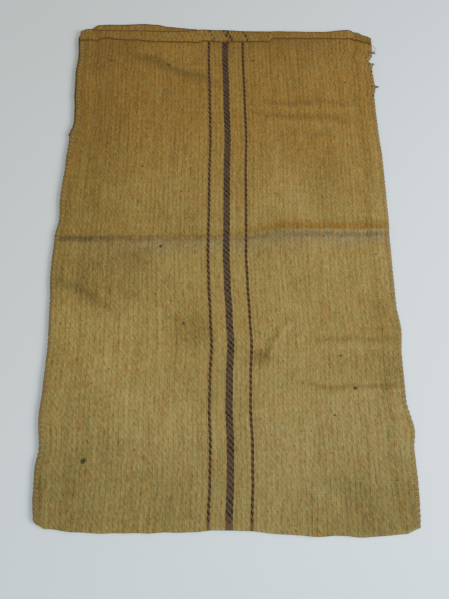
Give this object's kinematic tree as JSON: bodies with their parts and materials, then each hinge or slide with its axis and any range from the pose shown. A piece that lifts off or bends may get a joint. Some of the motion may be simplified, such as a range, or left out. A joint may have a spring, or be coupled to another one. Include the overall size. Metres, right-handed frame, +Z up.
{
  "type": "sack race bag",
  "caption": "Empty jute sack for sack races, lying flat: striped twill, oversewn sides, hemmed open mouth; it folds in half and its mouth opens.",
  "frame": {"origin": "centre of the flat sack's footprint, on the surface it lies on", "axes": "+Y along the sack from the bottom fold to the mouth, +Z up through the plies, towards the front; +X to the right seen from the front with the mouth up"},
  "size_m": [0.66, 1.05, 0.0126],
  "materials": {
    "jute_cloth": "matte twill weave of natural jute",
    "seam_twine": "matte hairy jute twine",
    "hem_thread": "matte brown jute thread",
    "dark_stripe_yarn": "matte dyed jute yarn, brown-black",
    "thin_line_yarn": "matte dyed jute yarn, dark maroon"
  },
  "bodies": {
    "lower_half": {"bottom_fold": "jute_cloth", "lower_back_centre_stripe": "dark_stripe_yarn", "lower_back_left_thin_stripe": "thin_line_yarn", "lower_back_left_turned_in_edge": "jute_cloth", "lower_back_panel": "jute_cloth", "lower_back_right_thin_stripe": "thin_line_yarn", "lower_back_right_turned_in_edge": "jute_cloth", "lower_front_centre_stripe": "dark_stripe_yarn", "lower_front_left_thin_stripe": "thin_line_yarn", "lower_front_left_turned_in_edge": "jute_cloth", "lower_front_panel": "jute_cloth", "lower_front_right_thin_stripe": "thin_line_yarn", "lower_front_right_turned_in_edge": "jute_cloth", "lower_left_seam_twine": "seam_twine", "lower_right_seam_twine": "seam_twine"},
    "upper_back": {"crease_band_centre_stripe": "dark_stripe_yarn", "crease_band_front": "jute_cloth", "crease_band_left_seam_twine": "seam_twine", "crease_band_left_thin_stripe": "thin_line_yarn", "crease_band_left_turned_in_edges": "jute_cloth", "crease_band_right_seam_twine": "seam_twine", "crease_band_right_thin_stripe": "thin_line_yarn", "crease_band_right_turned_in_edges": "jute_cloth", "upper_back_middle_centre_stripe": "dark_stripe_yarn", "upper_back_middle_hem": "jute_cloth", "upper_back_middle_hem_thread": "hem_thread", "upper_back_middle_left_thin_stripe": "thin_line_yarn", "upper_back_middle_panel": "jute_cloth", "upper_back_middle_right_thin_stripe": "thin_line_yarn"},
    "upper_front": {"upper_front_middle_centre_stripe": "dark_stripe_yarn", "upper_front_middle_hem": "jute_cloth", "upper_front_middle_hem_thread": "hem_thread", "upper_front_middle_left_thin_stripe": "thin_line_yarn", "upper_front_middle_panel": "jute_cloth", "upper_front_middle_right_thin_stripe": "thin_line_yarn"},
    "upper_back_left": {"upper_back_left_hem": "jute_cloth", "upper_back_left_hem_thread": "hem_thread", "upper_back_left_panel": "jute_cloth", "upper_back_left_seam_twine": "seam_twine", "upper_back_left_turned_in_edge": "jute_cloth"},
    "upper_back_right": {"upper_back_right_hem": "jute_cloth", "upper_back_right_hem_thread": "hem_thread", "upper_back_right_panel": "jute_cloth", "upper_back_right_seam_twine": "seam_twine", "upper_back_right_turned_in_edge": "jute_cloth"},
    "upper_front_left": {"upper_front_left_hem": "jute_cloth", "upper_front_left_hem_thread": "hem_thread", "upper_front_left_panel": "jute_cloth", "upper_front_left_seam_twine": "seam_twine", "upper_front_left_turned_in_edge": "jute_cloth"},
    "upper_front_right": {"upper_front_right_hem": "jute_cloth", "upper_front_right_hem_thread": "hem_thread", "upper_front_right_panel": "jute_cloth", "upper_front_right_seam_twine": "seam_twine", "upper_front_right_turned_in_edge": "jute_cloth"}
  },
  "joints": [
    {"name": "fold_in_half", "type": "hinge", "parent": "lower_half", "child": "upper_back", "pos_m": [0, 0.0273, 0.0129], "axis": [1, 0, 0], "range_deg": [0, 158]},
    {"name": "mouth_open", "type": "hinge", "parent": "upper_back", "child": "upper_front", "pos_m": [0, 0.0423, 0.0063], "axis": [1, 0, 0], "range_deg": [0, 22]},
    {"name": "back_left_crease", "type": "hinge", "parent": "upper_back", "child": "upper_back_left", "pos_m": [-0.33, 0.0423, 0.0063], "axis": [0.495, 0.8689, 0], "range_deg": [0, 23]},
    {"name": "back_right_crease", "type": "hinge", "parent": "upper_back", "child": "upper_back_right", "pos_m": [0.33, 0.0423, 0.0063], "axis": [0.495, -0.8689, 0], "range_deg": [0, 23]},
    {"name": "front_left_crease", "type": "hinge", "parent": "upper_front", "child": "upper_front_left", "pos_m": [-0.33, 0.0423, 0.0063], "axis": [-0.495, -0.8689, 0], "range_deg": [0, 23]},
    {"name": "front_right_crease", "type": "hinge", "parent": "upper_front", "child": "upper_front_right", "pos_m": [0.33, 0.0423, 0.0063], "axis": [-0.495, 0.8689, 0], "range_deg": [0, 23]}
  ],
  "couplings": [
    {"joint": "back_left_crease", "follows": "mouth_open", "ratio": 1.017},
    {"joint": "back_right_crease", "follows": "mouth_open", "ratio": 1.017},
    {"joint": "front_left_crease", "follows": "mouth_open", "ratio": 1.017},
    {"joint": "front_right_crease", "follows": "mouth_open", "ratio": 1.017}
  ]
}
